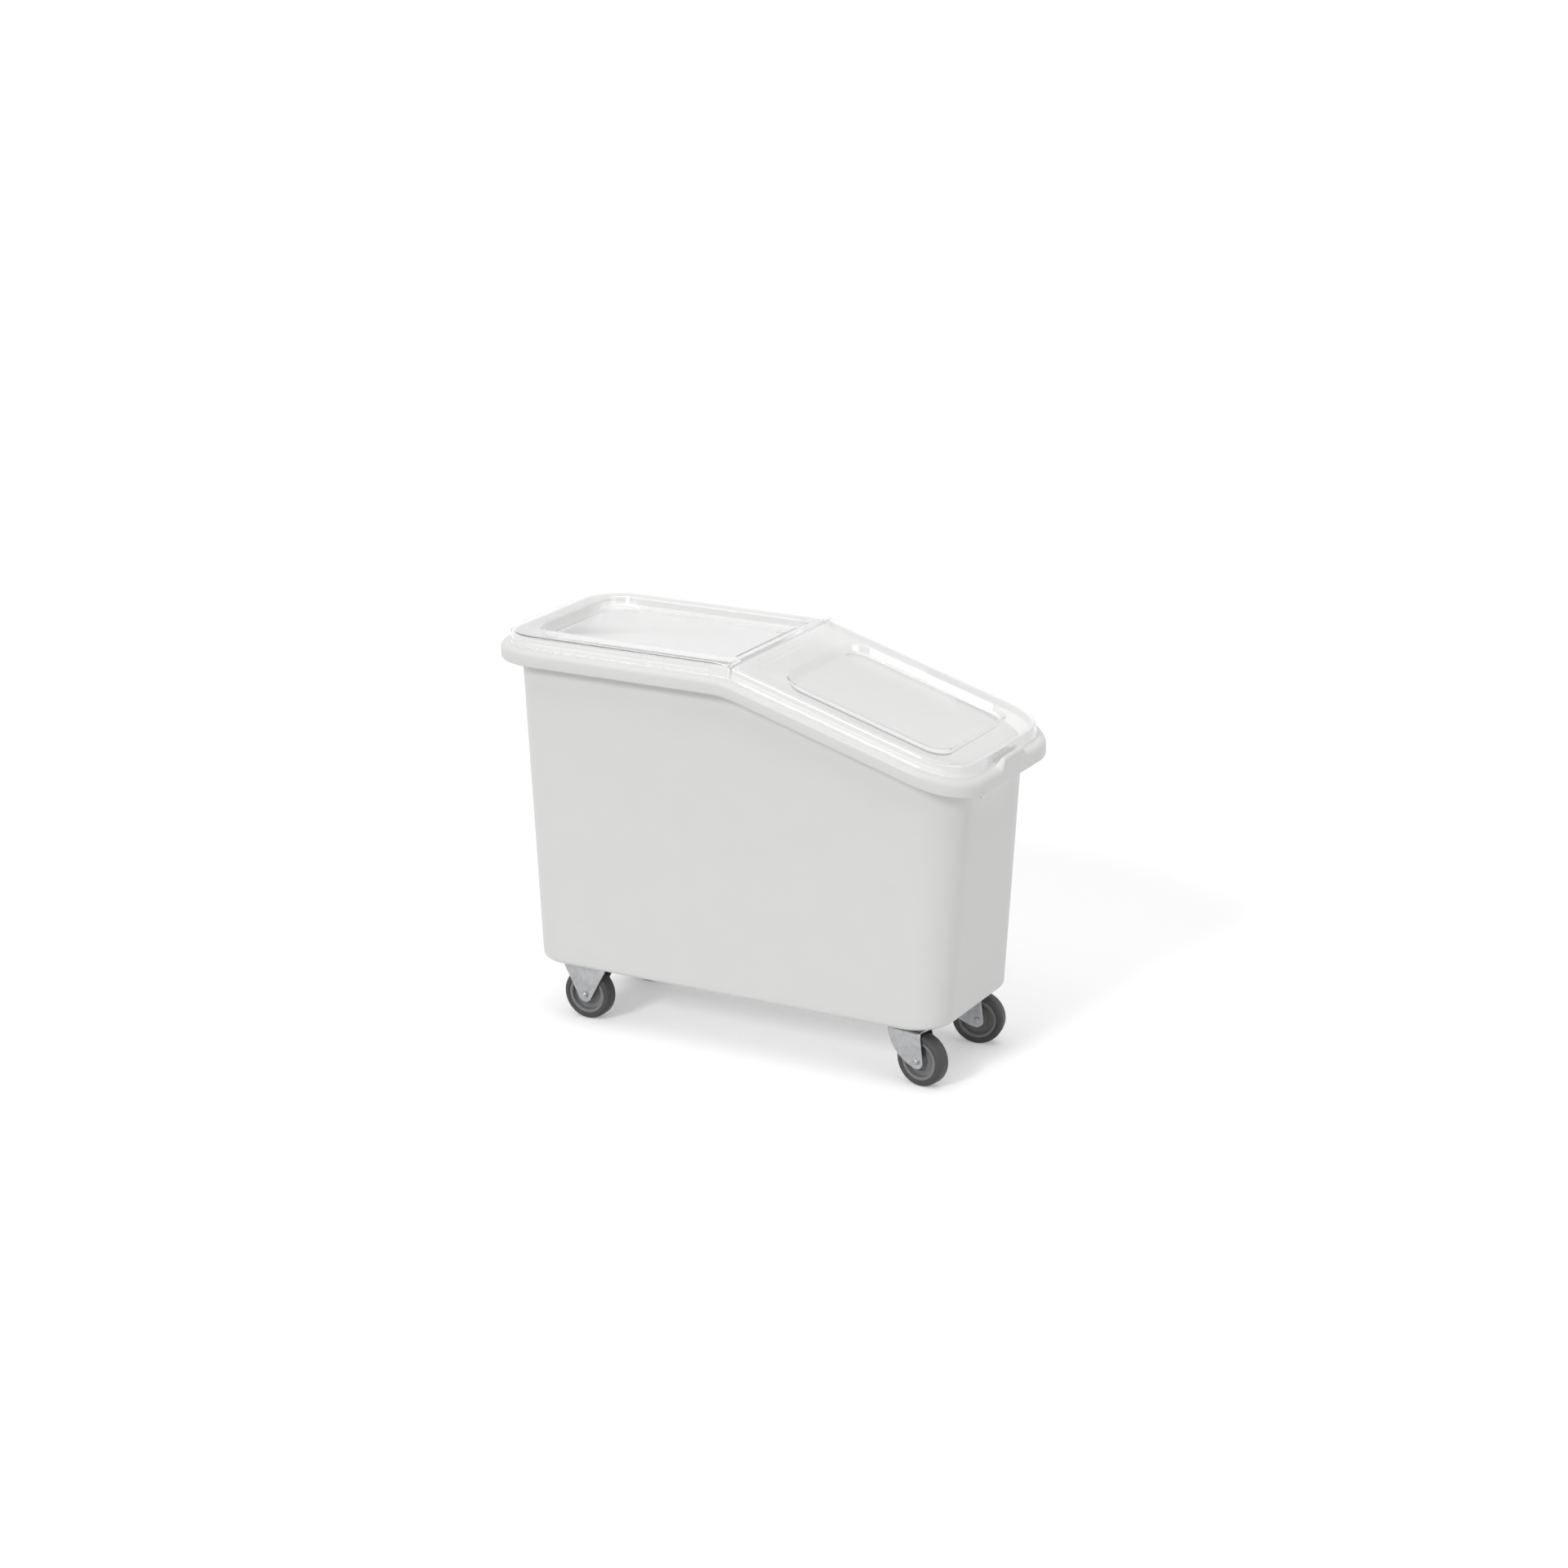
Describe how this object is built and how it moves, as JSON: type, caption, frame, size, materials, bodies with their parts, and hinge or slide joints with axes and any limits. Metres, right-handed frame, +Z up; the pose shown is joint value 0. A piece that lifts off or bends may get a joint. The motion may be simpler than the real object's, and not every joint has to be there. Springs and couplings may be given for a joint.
{
  "type": "rolling ingredient bin",
  "caption": "White moulded bin on casters for flour and dry goods, with a sloping front, a rolled rim and clear lids hinged at the ridge so the front one flips open for scooping.",
  "frame": {"origin": "on the floor under the middle of the rim", "axes": "+X towards the low scooping end, +Z up, +Y to the left when facing +X"},
  "size_m": [0.75, 0.33, 0.5798],
  "materials": {
    "tub_plastic": "satin white polypropylene",
    "clear_lid": "clear polycarbonate",
    "galvanised_steel": "zinc plated sheet",
    "bright_steel": "zinc plated fasteners",
    "wheel_core": "grey polypropylene",
    "tyre_rubber": "dark grey non-marking rubber",
    "sealing_rubber": "sealing washers"
  },
  "bodies": {
    "tub": {"tub": "tub_plastic", "rear_right_fork": "galvanised_steel", "rear_right_axle_sleeve": "bright_steel", "rear_right_axle_bolt": "bright_steel", "rear_right_axle_nut": "bright_steel", "front_right_plate": "galvanised_steel", "front_right_race": "galvanised_steel", "front_right_kingpin": "bright_steel", "rear_left_fork": "galvanised_steel", "rear_left_axle_sleeve": "bright_steel", "rear_left_axle_bolt": "bright_steel", "rear_left_axle_nut": "bright_steel", "front_left_plate": "galvanised_steel", "front_left_race": "galvanised_steel", "front_left_kingpin": "bright_steel", "caster_bolts": "bright_steel", "caster_washers": "sealing_rubber", "caster_nuts": "bright_steel"},
    "rear_lid": {"rear_lid": "clear_lid", "right_hinge_pin": "bright_steel", "left_hinge_pin": "bright_steel"},
    "front_lid": {"front_lid": "clear_lid"},
    "rear_right_wheel": {"rear_right_wheel_core": "wheel_core", "rear_right_tyre": "tyre_rubber"},
    "front_right_swivel": {"front_right_fork": "galvanised_steel", "front_right_balls": "bright_steel", "front_right_axle_sleeve": "bright_steel", "front_right_axle_bolt": "bright_steel", "front_right_axle_nut": "bright_steel"},
    "front_right_wheel": {"front_right_wheel_core": "wheel_core", "front_right_tyre": "tyre_rubber"},
    "rear_left_wheel": {"rear_left_wheel_core": "wheel_core", "rear_left_tyre": "tyre_rubber"},
    "front_left_swivel": {"front_left_fork": "galvanised_steel", "front_left_balls": "bright_steel", "front_left_axle_sleeve": "bright_steel", "front_left_axle_bolt": "bright_steel", "front_left_axle_nut": "bright_steel"},
    "front_left_wheel": {"front_left_wheel_core": "wheel_core", "front_left_tyre": "tyre_rubber"}
  },
  "joints": [
    {"name": "rear_lid_lift", "type": "slide", "parent": "tub", "child": "rear_lid", "axis": [0, 0, 1], "range_m": [0, 0.12]},
    {"name": "front_lid_hinge", "type": "hinge", "parent": "rear_lid", "child": "front_lid", "pos_m": [0.018, 0, 0.57644], "axis": [0, -1, 0], "range_deg": [0, 186]},
    {"name": "rear_right_wheel_spin", "type": "hinge", "parent": "tub", "child": "rear_right_wheel", "pos_m": [-0.25128, -0.08597, 0.0375], "axis": [0, 1, 0], "continuous": true},
    {"name": "rear_left_wheel_spin", "type": "hinge", "parent": "tub", "child": "rear_left_wheel", "pos_m": [-0.25128, 0.08597, 0.0375], "axis": [0, 1, 0], "continuous": true},
    {"name": "front_right_swivel_turn", "type": "hinge", "parent": "tub", "child": "front_right_swivel", "pos_m": [0.25978, -0.08597, 0.08], "axis": [0, 0, 1], "continuous": true},
    {"name": "front_right_wheel_spin", "type": "hinge", "parent": "front_right_swivel", "child": "front_right_wheel", "pos_m": [0.28637, -0.09066, 0.0375], "axis": [0.1736, 0.9848, 0], "continuous": true},
    {"name": "front_left_swivel_turn", "type": "hinge", "parent": "tub", "child": "front_left_swivel", "pos_m": [0.25978, 0.08597, 0.08], "axis": [0, 0, 1], "continuous": true},
    {"name": "front_left_wheel_spin", "type": "hinge", "parent": "front_left_swivel", "child": "front_left_wheel", "pos_m": [0.28637, 0.09066, 0.0375], "axis": [-0.1736, 0.9848, 0], "continuous": true}
  ]
}
